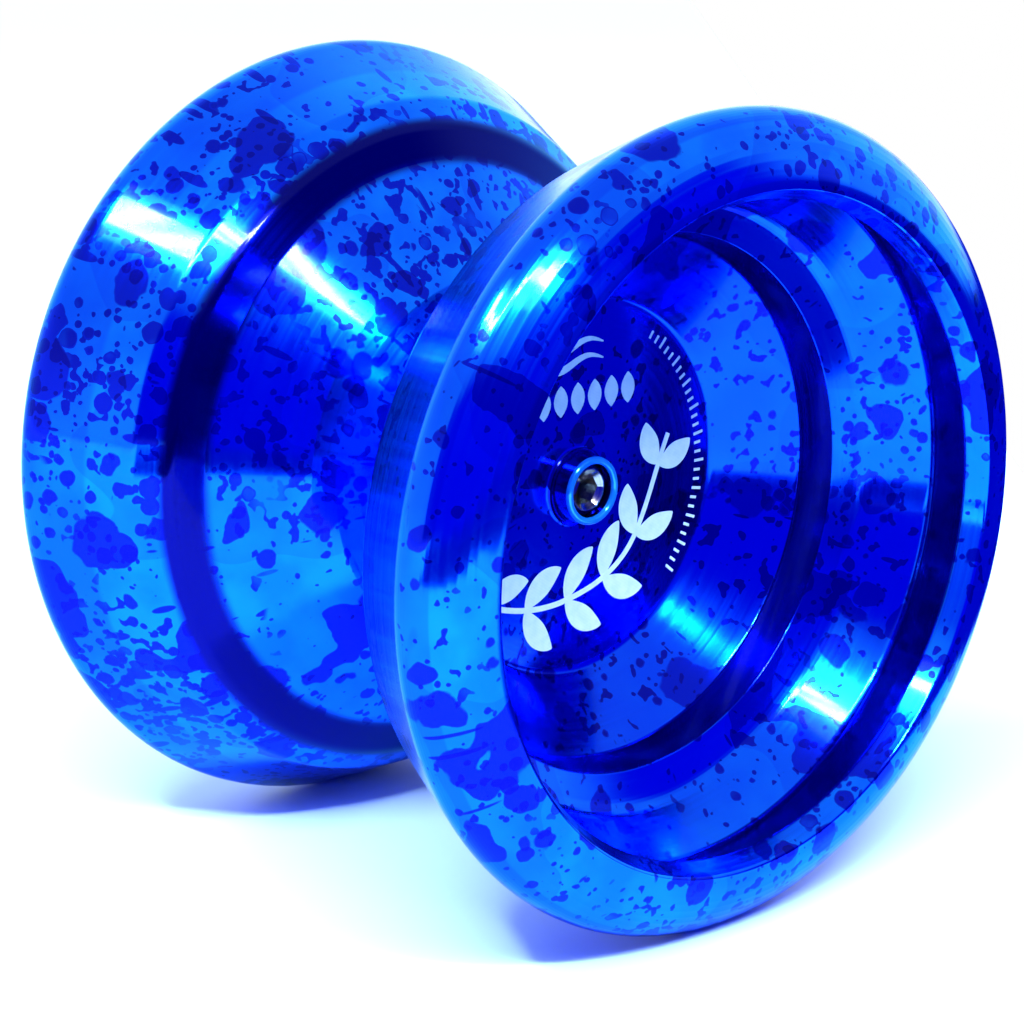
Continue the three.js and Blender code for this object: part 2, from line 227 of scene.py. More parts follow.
class Shader:
    """A small helper that adds and links shader nodes."""

    def __init__(self, name):
        self.material = bpy.data.materials.new(name)
        self.material.use_nodes = True
        self.tree = self.material.node_tree
        self.tree.nodes.clear()
        self.output = self.tree.nodes.new("ShaderNodeOutputMaterial")
        self.surface = self.tree.nodes.new("ShaderNodeBsdfPrincipled")
        self.tree.links.new(self.surface.outputs[0], self.output.inputs["Surface"])

    def set(self, **values):
        for key, value in values.items():
            self.surface.inputs[key.replace("_", " ")].default_value = value

    def feed(self, socket, value):
        """Links value to a socket if it is another node's output, and sets it otherwise."""
        if isinstance(value, bpy.types.NodeSocket):
            self.tree.links.new(value, socket)
        else:
            socket.default_value = value

    def node(self, kind, output=0, settings=None, **inputs):
        node = self.tree.nodes.new(kind)
        for key, value in (settings or {}).items():
            setattr(node, key, value)
        for key, value in inputs.items():
            self.feed(node.inputs[key.replace("_", " ")], value)
        return node.outputs[output]

    def math(self, operation, a, b=0.0, clamp=False):
        node = self.tree.nodes.new("ShaderNodeMath")
        node.operation = operation
        node.use_clamp = clamp
        self.feed(node.inputs[0], a)
        self.feed(node.inputs[1], b)
        return node.outputs[0]

    def vector(self, operation, a, b):
        node = self.tree.nodes.new("ShaderNodeVectorMath")
        node.operation = operation
        self.feed(node.inputs[0], a)
        key = "Scale" if operation == "SCALE" else 1
        self.feed(node.inputs[key], b)
        return node.outputs["Value"] if operation in ("LENGTH", "DOT_PRODUCT") else node.outputs[0]

    def mix(self, factor, a, b):
        node = self.tree.nodes.new("ShaderNodeMix")
        node.data_type = "RGBA"
        self.feed(node.inputs["Factor"], factor)
        self.feed(node.inputs["A"], a)
        self.feed(node.inputs["B"], b)
        return node.outputs["Result"]

    def ramp(self, value, low, high, to_low=0.0, to_high=1.0):
        node = self.tree.nodes.new("ShaderNodeMapRange")
        node.interpolation_type = "SMOOTHSTEP"
        limits = (("From Min", low), ("From Max", high), ("To Min", to_low), ("To Max", to_high))
        for key, number in limits:
            self.feed(node.inputs[key], number)
        self.feed(node.inputs["Value"], value)
        return node.outputs["Result"]

    def millimetres(self):
        """The surface point in millimetres, in the part's own frame."""
        spot = self.node("ShaderNodeTexCoord", "Object")
        return self.vector("SCALE", spot, 1 / MM)

    def noise(self, where, scale, detail=2.0, roughness=0.5, output="Fac"):
        return self.node("ShaderNodeTexNoise", output, Vector=where, Scale=scale, Detail=detail,
                         Roughness=roughness)

    def split(self, place_mm):
        """A point's x, y and z, and its distance from the axle."""
        spot = self.tree.nodes.new("ShaderNodeSeparateXYZ")
        self.feed(spot.inputs[0], place_mm)
        x, y, z = spot.outputs
        squares = self.math("ADD", self.math("MULTIPLY", y, y), self.math("MULTIPLY", z, z))
        return x, y, z, self.math("SQRT", squares)

    def turning_lines(self, place_mm, per_mm):
        """Noise that changes only with radius and with distance along the axle: a lathe tool's marks."""
        x, _, _, radius = self.split(place_mm)
        spot = self.node("ShaderNodeCombineXYZ", X=x, Y=radius)
        return self.noise(spot, per_mm, detail=3.0, roughness=0.6)

    def flung(self, place_mm, shift):
        """Coordinates that stretch splashes outward: the way along the half's outline, squeezed, and
        the place round a circle."""
        x, y, z, radius = self.split(place_mm)
        run = self.math("ADD", self.math("ADD", self.math("ABSOLUTE", x), radius), shift)
        along = self.math("MULTIPLY", run, STREAK_SQUEEZE)
        around_y = self.math("MULTIPLY", self.math("DIVIDE", y, radius), STREAK_CIRCLE)
        around_z = self.math("MULTIPLY", self.math("DIVIDE", z, radius), STREAK_CIRCLE)
        return self.node("ShaderNodeCombineXYZ", X=along, Y=around_y, Z=around_z)

    def painted_shade_and_highlight(self, place_mm):
        """Where light and shade are painted into the dye's colour: painted shade in the step's corner,
        under the lip, on the boss's side, in the groove round the outside and over the cup, stronger
        deeper in, and a painted highlight on the boss's edge."""
        x, _, _, radius = self.split(place_mm)
        out = self.math("ABSOLUTE", x)

        def between(value, low, high, soft=0.15):
            rise = self.ramp(value, low - soft, low)
            return self.math("MULTIPLY", rise, self.ramp(value, high + soft, high))

        # Painted shade: the step's corner, the hollow under the lip and the boss's side are darkened for
        # shade.
        step = self.math("MULTIPLY", between(out, FLOOR_X + 0.1, STEP_X - 0.1),
                         between(radius, FLOOR_RADIUS - 0.1, STEP_RADIUS + 0.1, 0.08))
        undercut = self.math("MULTIPLY", between(out, UNDERCUT_X + 0.3, LIP_X - 0.2, 0.5),
                             between(radius, LIP_RADIUS - 0.1, UNDERCUT_RADIUS + 0.1))
        # Painted shade in the groove round the outside.
        groove = self.math("MULTIPLY", between(out, CATCH_EDGE_X + 0.2, GROOVE_X + 0.5, 0.7),
                           between(radius, CATCH_EDGE_RADIUS, GROOVE_RADIUS + 0.2, 0.6))
        # Painted shade over the inside of the cup.
        cone_slope, cup_bottom = 0.8, DISC_X - 0.9
        inner_side = self.math("ADD", self.math("MULTIPLY", radius, cone_slope),
                               cup_bottom - cone_slope * DISC_RADIUS)
        cup = self.math("MULTIPLY", self.ramp(self.math("SUBTRACT", out, inner_side), 0.0, 0.3),
                        between(out, cup_bottom, LIP_X - 0.6))
        cup = self.math("MULTIPLY", cup, self.ramp(radius, BOSS_RADIUS + 0.1, BOSS_RADIUS + 0.4))
        boss_side = self.math("MULTIPLY", self.ramp(radius, BOSS_RADIUS + 0.4, BOSS_RADIUS + 0.2),
                              between(out, DISC_X, BOSS_X - 0.3, 0.1))
        # The cup's painted shade is stronger deeper in.
        deep_cup_shade = self.math("MULTIPLY", cup, self.ramp(out, LEDGE_X - 0.5, LEDGE_X - 1.5, 0.45, 0.8))
        # Painted highlight on the boss's edge.
        boss_edge_highlight = self.math("MULTIPLY", self.ramp(radius, BOSS_RADIUS + 0.2, BOSS_RADIUS + 0.1),
                              self.ramp(out, BOSS_X - 0.35, BOSS_X - 0.25))
        corners = self.math("MAXIMUM", self.math("MAXIMUM", step, undercut), boss_side)
        return corners, groove, deep_cup_shade, boss_edge_highlight

    def bump(self, height, strength, distance):
        normal = self.node("ShaderNodeBump", Height=height, Strength=strength, Distance=distance)
        self.tree.links.new(normal, self.surface.inputs["Normal"])

    def around_axle(self):
        """Stretches highlights across the tool marks, which run round the X axis."""
        tangent = self.node("ShaderNodeTangent", settings={"direction_type": "RADIAL", "axis": "X"})
        self.tree.links.new(tangent, self.surface.inputs["Tangent"])


def drops(shader, where, cell, smallest, largest, crowd=0.0, melting=False):
    """Round splashes, at most one in each cell of `cell` mm, with a random radius in cell widths.

    Crowd is added to the radius, so it says where the splashes lie thick. Melting splashes run into
    their neighbours where they touch. Gives how much of the dye is there, and how far inside a splash
    the point lies."""
    node = shader.tree.nodes.new("ShaderNodeTexVoronoi")
    node.feature = "SMOOTH_F1" if melting else "F1"
    shader.feed(node.inputs["Vector"], where)
    node.inputs["Scale"].default_value = 1 / cell
    if melting:
        node.inputs["Smoothness"].default_value = MELT
    node.inputs["Randomness"].default_value = DISORDER
    lottery = shader.node("ShaderNodeSeparateColor", 0, Color=node.outputs["Color"])
    size = shader.math("ADD", shader.math("MULTIPLY", lottery, largest - smallest), smallest)
    size = shader.math("ADD", size, crowd)
    depth = shader.math("SUBTRACT", size, node.outputs["Distance"])
    return shader.ramp(depth, 0.0, SPLASH_EDGE), depth


def wobble(shader, where, scale, reach):
    """A small random shift, so that splashes aren't perfect circles."""
    swing = shader.noise(where, scale, detail=2.0, output="Color")
    return shader.vector("SCALE", shader.vector("SUBTRACT", swing, (0.5, 0.5, 0.5)), 2 * reach)


# Anodising, from thin to thick dye, and the tint of its reflections at a grazing angle. Some of these
# colours are painted light: the lightest is a painted highlight, and darker ones serve as painted shade.
# Painted highlight colour for the boss's edge.
BOSS_EDGE_HIGHLIGHT = (0.01, 0.26, 1.0, 1)
BRIGHT_AZURE = (0.001, 0.150, 0.97, 1)
AZURE = (0.0, 0.105, 0.93, 1)
POOL = (0.0, 0.050, 0.80, 1)
# Painted shade colour for the cup.
CUP_SHADE = (0.0, 0.030, 0.80, 1)
SPLASH = (0.0, 0.009, 0.50, 1)
# The deepest splash colour, which also serves as painted shade in the corners and the cup.
DEEP_SPLASH_AND_SHADE = (0.0, 0.002, 0.28, 1)
# Painted shade colour for the groove.
GROOVE_SHADE = (0.0, 0.001, 0.14, 1)
EDGE_TINT = (0.50, 0.80, 1.0, 1)

# Splashes: the size of their cells, and their smallest and largest radius in cell widths. Below zero
# there is no splash. Streaks are splashes laid round a circle and squeezed, so that they come out long.
SPRAY = (0.8, -0.12, 0.32)
MEDIUM = (1.7, 0.06, 0.36)
BLOT = (3.1, -0.20, 0.38)
LARGE = (5.6, -0.40, 0.42)
STREAK_CELL, STREAK_SPREAD = 1.15, 0.60
STREAK_CIRCLE, STREAK_SQUEEZE = 25.0, 0.22
SPLASH_EDGE = 0.03
MELT = 0.3
DISORDER = 0.9


def splattered(name, shift, density, torn_share, streak_share):
    """Blue anodising under darker splashes: fine spray, drops, torn flecks, streaks and pools."""
    shader = Shader(name)
    place_mm = shader.millimetres()
    moved = shader.vector("ADD", place_mm, shift)
    neat = shader.vector("ADD", moved, wobble(shader, moved, 0.9, 0.22))
    wavy = shader.vector("ADD", neat, wobble(shader, moved, 0.30, 0.9))
    crowd = shader.ramp(shader.noise(moved, 0.09, detail=1.0), 0.38, 0.62, -0.15, 0.12)

    def thick(kind):
        cell, smallest, largest = kind
        return cell, smallest, largest * density

    spray, _ = drops(shader, neat, *thick(SPRAY), crowd)
    medium, medium_depth = drops(shader, neat, *thick(MEDIUM), crowd, melting=True)
    blot, _ = drops(shader, wavy, *thick(BLOT), crowd, melting=True)
    large, _ = drops(shader, wavy, *thick(LARGE), melting=True)

    streak_sizes = (streak_share - STREAK_SPREAD, streak_share)
    streak, _ = drops(shader, shader.flung(place_mm, shift[0]), STREAK_CELL, *streak_sizes)
    streak_patch = shader.ramp(shader.noise(moved, 0.10, detail=1.0), 0.41, 0.44)
    streak = shader.math("MULTIPLY", streak, streak_patch)

    fleck_patch = shader.ramp(shader.noise(moved, 0.075, detail=2.0), 0.44, 0.58, -0.12, torn_share)
    flecks = shader.math("ADD", shader.noise(neat, 1.0, detail=1.0, roughness=0.45), fleck_patch)
    torn = shader.ramp(flecks, 0.56, 0.575)
    sheet = shader.ramp(shader.noise(wavy, 0.14, detail=2.0, roughness=0.45), 0.61, 0.615)

    pool_field = shader.noise(moved, 0.10, detail=1.0)
    pool = shader.ramp(pool_field, 0.555, 0.56)
    broad = shader.noise(moved, 0.2, detail=3.0)

    colour = shader.mix(shader.ramp(broad, 0.35, 0.65), AZURE, BRIGHT_AZURE)
    # Masks of painted shade in the corners, the groove and the cup, and of a painted highlight on the
    # boss's edge.
    corners, groove, cup, boss_edge_highlight = shader.painted_shade_and_highlight(place_mm)
    colour = shader.mix(shader.math("MULTIPLY", pool, 0.40), colour, POOL)
    # Painted shade: the cup darkened.
    colour = shader.mix(cup, colour, CUP_SHADE)
    fine = shader.math("MAXIMUM", shader.math("MAXIMUM", medium, spray),
                       shader.math("MAXIMUM", streak, torn))
    broad_dye = shader.math("MAXIMUM", shader.math("MAXIMUM", large, blot), sheet)
    # Drops are darker where the broad tone says, and in the cup as painted shade.
    drop_dye = shader.mix(shader.math("MAXIMUM", shader.ramp(broad, 0.30, 0.46), cup), POOL, SPLASH)
    colour = shader.mix(fine, colour, shader.mix(cup, drop_dye, DEEP_SPLASH_AND_SHADE))
    colour = shader.mix(broad_dye, colour, shader.mix(fine, SPLASH, DEEP_SPLASH_AND_SHADE))
    ring = shader.math("MULTIPLY", shader.ramp(medium_depth, 0.0, 0.02),
                       shader.ramp(medium_depth, 0.08, 0.03))
    colour = shader.mix(ring, colour, shader.mix(broad_dye, SPLASH, DEEP_SPLASH_AND_SHADE))
    # Painted shade in the groove.
    colour = shader.mix(groove, colour, GROOVE_SHADE)
    # Painted shade in the corners.
    colour = shader.mix(corners, colour, DEEP_SPLASH_AND_SHADE)
    # Painted highlight on the boss's edge: a lighter colour and less metal.
    colour = shader.mix(boss_edge_highlight, colour, BOSS_EDGE_HIGHLIGHT)
    shader.feed(shader.surface.inputs["Metallic"], shader.ramp(boss_edge_highlight, 0.0, 1.0, 1.0, 0.5))
    shader.feed(shader.surface.inputs["Base Color"], colour)

    dye = shader.math("MAXIMUM", fine, broad_dye)
    lines = shader.turning_lines(place_mm, 3.2)
    rough = shader.ramp(lines, 0.3, 0.7, 0.10, 0.15)
    rough = shader.math("ADD", rough, shader.math("MULTIPLY", dye, 0.03))
    shader.feed(shader.surface.inputs["Roughness"], rough)
    shader.bump(lines, 0.05, 0.00002)
    shader.around_axle()
    shader.set(Anisotropic=0.85, Anisotropic_Rotation=0.25, Specular_Tint=EDGE_TINT)
    shader.set(Coat_Weight=0.08, Coat_Roughness=0.06, Coat_IOR=1.5)
    return shader.material


def turned_steel(name, low, high, rough, per_mm):
    """Ground or turned steel, between two colours, with per_mm fine rings about the axle."""
    shader = Shader(name)
    place_mm = shader.millimetres()
    lines = shader.turning_lines(place_mm, per_mm)
    cloud = shader.noise(place_mm, 0.9, detail=4.0)
    tone = shader.math("ADD", shader.math("MULTIPLY", lines, 0.7), shader.math("MULTIPLY", cloud, 0.3))
    shader.feed(shader.surface.inputs["Base Color"], shader.mix(shader.ramp(tone, 0.3, 0.7), low, high))
    shader.feed(shader.surface.inputs["Roughness"],
                shader.ramp(tone, 0.25, 0.75, rough * 0.75, rough * 1.3))
    shader.bump(lines, 0.15, 0.00002)
    shader.around_axle()
    shader.set(Metallic=1.0, Anisotropic=0.5, Anisotropic_Rotation=0.25)
    return shader.material


def polished_steel(name):
    """Ball steel: near-mirror, with faint lapping haze."""
    shader = Shader(name)
    haze = shader.noise(shader.millimetres(), 3.0, detail=4.0)
    shader.feed(shader.surface.inputs["Base Color"],
                shader.mix(shader.ramp(haze, 0.3, 0.7), (0.70, 0.71, 0.73, 1), (0.80, 0.81, 0.82, 1)))
    shader.feed(shader.surface.inputs["Roughness"], shader.ramp(haze, 0.3, 0.7, 0.04, 0.10))
    shader.set(Metallic=1.0)
    return shader.material


def silicone(name):
    """Milky silicone with a fine mould grain and a little dust."""
    shader = Shader(name)
    place_mm = shader.millimetres()
    grain = shader.noise(place_mm, 9.0, detail=3.0)
    cloud = shader.noise(place_mm, 0.6, detail=3.0)
    shader.feed(shader.surface.inputs["Base Color"],
                shader.mix(shader.ramp(cloud, 0.35, 0.7), (0.80, 0.81, 0.82, 1), (0.68, 0.70, 0.72, 1)))
    shader.feed(shader.surface.inputs["Roughness"], shader.ramp(grain, 0.3, 0.7, 0.5, 0.68))
    shader.bump(grain, 0.25, 0.00004)
    shader.set(Subsurface_Weight=0.25, Subsurface_Radius=(0.001, 0.001, 0.001), Subsurface_Scale=0.4)
    return shader.material


def etched(name):
    """Laser marking: the dye is burnt off, leaving a matt pale oxide with a fine hatch."""
    shader = Shader(name)
    place_mm = shader.millimetres()
    hatch = shader.node("ShaderNodeTexWave", 1, settings={"bands_direction": "Z"},
                        Vector=place_mm, Scale=3.0, Distortion=0.4, Detail=1.0)
    cloud = shader.noise(place_mm, 1.4, detail=4.0)
    tone = shader.math("ADD", shader.math("MULTIPLY", hatch, 0.25), shader.math("MULTIPLY", cloud, 0.75))
    shader.feed(shader.surface.inputs["Base Color"],
                shader.mix(shader.ramp(tone, 0.25, 0.7), (0.34, 0.56, 0.62, 1), (0.46, 0.66, 0.70, 1)))
    shader.feed(shader.surface.inputs["Roughness"], shader.ramp(cloud, 0.3, 0.7, 0.45, 0.6))
    shader.bump(hatch, 0.1, 0.00001)
    shader.set(Metallic=0.0)
    return shader.material


# ---------------------------------------------------------------- pieces

def half_outline():
    pad_floor = STRING_FACE + PAD_GROOVE_DEPTH
    bearing_side = BEARING_SIDE + FIT
    return rounded([
        [MOUTH_RADIUS, BOSS_X, 0.22],
        [MOUTH_RADIUS, BOSS_X - MOUTH_DEPTH, 0],
        [BORE_RADIUS, BOSS_X - MOUTH_DEPTH, 0],
        [BORE_RADIUS, SEAT_REACH, 0.1],
        [SEAT_RADIUS, SEAT_REACH, 0.3],
        [SEAT_RADIUS, bearing_side, 0.05],
        [SHOULDER_RADIUS, bearing_side, 0.06],
        [SHOULDER_RADIUS, POCKET_FLOOR_X, 0.05],
        [POCKET_WALL_RADIUS, POCKET_FLOOR_X, 0.08],
        [POCKET_WALL_RADIUS, STRING_FACE, 0.08],
        [PAD_INNER_RADIUS, STRING_FACE, 0.08],
        [PAD_INNER_RADIUS, pad_floor, 0.05],
        [PAD_OUTER_RADIUS, pad_floor, 0.05],
        [PAD_OUTER_RADIUS, STRING_FACE, 0.08],
        [GAP_FACE_RADIUS, STRING_FACE, 0.3],
        [CATCH_BEND_RADIUS, CATCH_BEND_X, 16],
        [CATCH_EDGE_RADIUS, CATCH_EDGE_X, 0.3],
        [GROOVE_RADIUS, GROOVE_X, 1.6],
        [RIM_INNER_RADIUS, RIM_INNER_X, 1.3],
        [RIM_RADIUS, CORNER_X, 2.2],
        [CROWN_RADIUS, CROWN_X, 6.0],
        [RIDGE_OUTER_RADIUS, HALF_WIDTH, 2.0],
        [RIDGE_INNER_RADIUS, HALF_WIDTH, 0.3],
        [LIP_RADIUS, LIP_X, 0.25],
        [UNDERCUT_RADIUS, UNDERCUT_X, 0.8],
        [LEDGE_RADIUS, LEDGE_X, 2.5],
        [STEP_RADIUS, STEP_X, 0.12],
        [FLOOR_RADIUS, FLOOR_X, 0.4],
        [DISC_RADIUS, DISC_X, 0.8],
        [BOSS_RADIUS, DISC_X, 0.5],
        [BOSS_RADIUS, BOSS_X, 0.26],
    ])


def track(shoulder_radius, direction):
    """Corners of a ball track's half-round groove."""
    half_angle = math.acos(abs(PITCH_RADIUS - shoulder_radius) / TRACK_RADIUS)
    outward = 1 if shoulder_radius > PITCH_RADIUS else -1
    steps = 14
    corners = []
    for step in range(steps + 1):
        angle = direction * half_angle * (2 * step / steps - 1)
        radius = PITCH_RADIUS + outward * TRACK_RADIUS * math.cos(angle)
        corners.append([radius, TRACK_RADIUS * math.sin(angle), 0])
    return corners


def inner_race():
    outline = rounded([
        [BEARING_BORE_RADIUS, BEARING_SIDE, 0.15],
        [BEARING_BORE_RADIUS, -BEARING_SIDE, 0.15],
        [INNER_SHOULDER_RADIUS, -BEARING_SIDE, 0.12],
        *track(INNER_SHOULDER_RADIUS, 1),
        [INNER_SHOULDER_RADIUS, BEARING_SIDE, 0.12],
    ])
    return turned("inner_race", outline, BEARING_SEGMENTS)


def outer_race():
    outline = rounded([
        [BEARING_RADIUS, -BEARING_SIDE, 0.3],
        [BEARING_RADIUS, BEARING_SIDE, 0.3],
        [COUNTERBORE_RADIUS, BEARING_SIDE, 0.06],
        [COUNTERBORE_RADIUS, COUNTERBORE_X, 0.04],
        [OUTER_SHOULDER_RADIUS, COUNTERBORE_X, 0.06],
        *track(OUTER_SHOULDER_RADIUS, -1),
        [OUTER_SHOULDER_RADIUS, -COUNTERBORE_X, 0.06],
        [COUNTERBORE_RADIUS, -COUNTERBORE_X, 0.04],
        [COUNTERBORE_RADIUS, -BEARING_SIDE, 0.06],
    ])
    return turned("outer_race", outline, BEARING_SEGMENTS)


def shield(name, side):
    """Pressed washer with a shallow dish and a rolled inner edge."""
    inner = COUNTERBORE_X + FIT
    outer = inner + SHIELD_THICKNESS
    outline = rounded([
        [SHIELD_INNER_RADIUS, outer, 0.05],
        [SHIELD_INNER_RADIUS, inner, 0.05],
        [SHIELD_INNER_RADIUS + 0.45, inner, 0.1],
        [COUNTERBORE_RADIUS - 0.55, inner + SHIELD_DISH, 0.1],
        [COUNTERBORE_RADIUS - 0.4, inner, 0.05],
        [COUNTERBORE_RADIUS - FIT, inner, 0.05],
        [COUNTERBORE_RADIUS - FIT, outer, 0.05],
        [COUNTERBORE_RADIUS - 0.4, outer, 0.05],
        [COUNTERBORE_RADIUS - 0.55, outer - SHIELD_DISH / 2, 0.05],
        [SHIELD_INNER_RADIUS + 0.45, outer - SHIELD_DISH / 2, 0.05],
    ], hold=0.02)
    return turned(name, outline, BEARING_SEGMENTS, side)


def snap_ring(name, side):
    """Open ring of round-edged wire, its two ends turned to face each other across a gap."""
    opening = math.radians(SNAP_RING_OPENING)
    wire, wide_wire = SNAP_WIRE_RADIUS, SNAP_WIRE_RADIUS * SNAP_WIRE_FLATTENING
    radius = COUNTERBORE_RADIUS - FIT - wide_wire
    x = COUNTERBORE_X + SHIELD_THICKNESS + 2 * FIT + wire
    bm = bmesh.new()
    rings = []
    steps, sides = 96, 14
    for i in range(steps + 1):
        angle = math.pi / 2 + opening / 2 + (2 * math.pi - opening) * i / steps
        ring = []
        for j in range(sides):
            turn = 2 * math.pi * j / sides
            out = radius + wide_wire * math.cos(turn)
            beside = x + wire * math.sin(turn)
            ring.append(bm.verts.new((beside, out * math.cos(angle), out * math.sin(angle))))
        rings.append(ring)
    for ring, following in zip(rings, rings[1:]):
        for j in range(sides):
            k = (j + 1) % sides
            bm.faces.new((ring[j], ring[k], following[k], following[j]))
    bm.faces.new(rings[0])
    bm.faces.new(rings[-1])
    return finish_mesh(name, bm, side, sharp=50)


def response_pad(name, side):
    """Silicone ring with soft edges and a slightly crowned face."""
    clearance, thickness, crown = 0.05, 0.9, 0.03
    floor = STRING_FACE + PAD_GROOVE_DEPTH - clearance
    face = floor - thickness
    inner, outer = PAD_INNER_RADIUS + clearance, PAD_OUTER_RADIUS - clearance
    middle = (inner + outer) / 2
    outline = rounded([
        [inner, floor, 0.05],
        [inner, face + crown, 0.2],
        [middle, face, 4],
        [outer, face + crown, 0.2],
        [outer, floor, 0.05],
    ])
    return turned(name, outline, RING_SEGMENTS, side)


def cage():
    """Ring with a round window for each ball."""
    outline = rounded([
        [CAGE_INNER_RADIUS, CAGE_HALF_WIDTH, 0.08],
        [CAGE_INNER_RADIUS, -CAGE_HALF_WIDTH, 0.08],
        [CAGE_OUTER_RADIUS, -CAGE_HALF_WIDTH, 0.08],
        [CAGE_OUTER_RADIUS, CAGE_HALF_WIDTH, 0.08],
    ])
    ring = turned("cage", outline, RING_SEGMENTS)
    bm = bmesh.new()
    for i in range(BALL_COUNT):
        y, z = ball_place(i)
        made = bmesh.ops.create_uvsphere(bm, u_segments=32, v_segments=20, radius=CAGE_WINDOW_RADIUS)
        bmesh.ops.translate(bm, verts=made["verts"], vec=(0, y, z))
    cutter = finish_mesh("cage_cutter", bm)
    cut = ring.modifiers.new("windows", "BOOLEAN")
    cut.operation = "DIFFERENCE"
    cut.solver = "EXACT"
    cut.object = cutter
    graph = bpy.context.evaluated_depsgraph_get()
    mesh = bpy.data.meshes.new_from_object(ring.evaluated_get(graph))
    ring.modifiers.clear()
    ring.data = mesh
    mesh.name = "cage"
    mesh.shade_smooth()
    mesh.set_sharp_from_angle(angle=math.radians(SHARP_ANGLE))
    bpy.data.objects.remove(cutter)
    return ring


def ball_place(index):
    angle = 2 * math.pi * index / BALL_COUNT
    return -PITCH_RADIUS * math.sin(angle), PITCH_RADIUS * math.cos(angle)


def ball(index):
    """Bearing ball, from triangles of one size, so that it has no poles."""
    bm = bmesh.new()
    bmesh.ops.create_icosphere(bm, subdivisions=4, radius=BALL_RADIUS)
    y, z = ball_place(index)
    bmesh.ops.translate(bm, verts=bm.verts, vec=(0, y, z))
    return finish_mesh(f"ball_{index + 1}", bm, sharp=180)


def thread_radius(x, angle):
    """Radius of a right-hand M4 thread at a place along the axle and an angle round it."""
    phase = (x / THREAD_PITCH - angle / (2 * math.pi)) % 1.0
    rise = min(1.0, max(0.0, (abs(phase - 0.5) * 2 - 0.14) / 0.72))
    radius = AXLE_RADIUS - (AXLE_RADIUS - AXLE_MINOR_RADIUS) * rise
    end_limit = AXLE_RADIUS - AXLE_CHAMFER + (AXLE_END - abs(x))
    return min(radius, end_limit)


def threaded_axle():
    """Set screw: a helical thread, a hexagon socket in the right end and a flat left end."""
    columns = 72
    rows_per_turn = 14
    rows = round(2 * AXLE_END / THREAD_PITCH * rows_per_turn)
    bm = bmesh.new()

    def ring(x, radius_at):
        made = []
        for i in range(columns):
            angle = 2 * math.pi * i / columns
            radius = radius_at(angle)
            made.append(bm.verts.new((x, radius * math.cos(angle), radius * math.sin(angle))))
        return made

    def hexagon(angle):
        return SOCKET_APOTHEM / math.cos(angle % (math.pi / 3) - math.pi / 6)

    rings = []
    for i in range(rows + 1):
        x = -AXLE_END + 2 * AXLE_END * i / rows
        rings.append(ring(x, lambda angle: thread_radius(x, angle)))
    rings.append(ring(AXLE_END, lambda angle: COUNTERSINK_RADIUS))
    rings.append(ring(AXLE_END - COUNTERSINK_DEPTH, hexagon))
    rings.append(ring(AXLE_END - SOCKET_DEPTH, hexagon))
    for first, second in zip(rings, rings[1:]):
        for i in range(columns):
            j = (i + 1) % columns
            bm.faces.new((first[i], first[j], second[j], second[i]))
    bottom = bm.verts.new((AXLE_END - SOCKET_DEPTH - 0.45, 0, 0))
    last = rings[-1]
    for i in range(columns):
        bm.faces.new((last[i], last[(i + 1) % columns], bottom))
    bm.faces.new(rings[0])
    return finish_mesh("threaded_axle", bm, sharp=28)


# ---------------------------------------------------------------- engraving

MARK_ROOT = DISC_X - 0.02
MARK_HEIGHT, STEM_HEIGHT = DISC_X + 0.015, DISC_X + 0.03
SPRIG_KNOTS = ((-11.8, -3.6), (-7.6, -7.2), (-1.2, -8.1), (5.0, -5.6), (9.0, 2.2))
STEM_WIDTH = 0.4
LEAF_PAIRS, LEAF_LENGTH, LEAF_WIDTH = 7, 4.3, 1.8
LEAF_ANGLE, LEAF_BEND = 62, 38
LOZENGES, LOZENGE_START, LOZENGE_SPACING = 8, -6.2, 1.6
LOZENGE_FOOT, LOZENGE_LENGTH, LOZENGE_WIDTH = 5.1, 2.2, 1.3
WAVES, WAVE_START, WAVE_LENGTH, WAVE_SWING, WAVE_WIDTH = 2, -6.0, 8.6, 0.38, 0.55
WAVE_FOOT, WAVE_SPACING = 8.7, 1.15
TICKS, TICK_START, TICK_SPACING, TICK_WIDTH = 30, -40, 3.2, 0.2
TICK_INNER, TICK_OUTER, LONG_TICK = 11.7, 12.3, 0.3


def stroke(bm, path, width, high=MARK_HEIGHT):
    """A flat mark on the disc: a closed strip along path, whose width is a function of how far along."""
    count = len(path)
    sides = []
    for i, point in enumerate(path):
        before, after = path[max(i - 1, 0)], path[min(i + 1, count - 1)]
        along = (after - before).normalized()
        across = Vector((-along.y, along.x)) * width(i / (count - 1)) / 2
        sides.append((point + across, point - across))
    rows = []
    for left, right in sides:
        rows.append([bm.verts.new((x, p.x, p.y)) for p, x in
                     ((left, MARK_ROOT), (right, MARK_ROOT), (right, high), (left, high))])
    for row, following in zip(rows, rows[1:]):
        for j in range(4):
            k = (j + 1) % 4
            bm.faces.new((row[j], row[k], following[k], following[j]))
    bm.faces.new(rows[0])
    bm.faces.new(rows[-1])


def taper(widest, thinnest):
    """A stroke's width that swells to the middle and ends in points."""
    return lambda share: thinnest + (widest - thinnest) * math.sin(math.pi * share) ** 0.8


def steady(width):
    """A stroke's width that stays the same."""
    return lambda share: width


def curve(points, steps=40):
    """A smooth path through points, by Catmull-Rom."""
    ends = [points[0] * 2 - points[1], *points, points[-1] * 2 - points[-2]]
    path = []
    for a, b, c, d in zip(ends, ends[1:], ends[2:], ends[3:]):
        for i in range(steps):
            t = i / steps
            path.append(((b * 2) + (c - a) * t + (a * 2 - b * 5 + c * 4 - d) * t * t
                         + (b * 3 - a - c * 3 + d) * t * t * t) / 2)
    return path + [points[-1]]


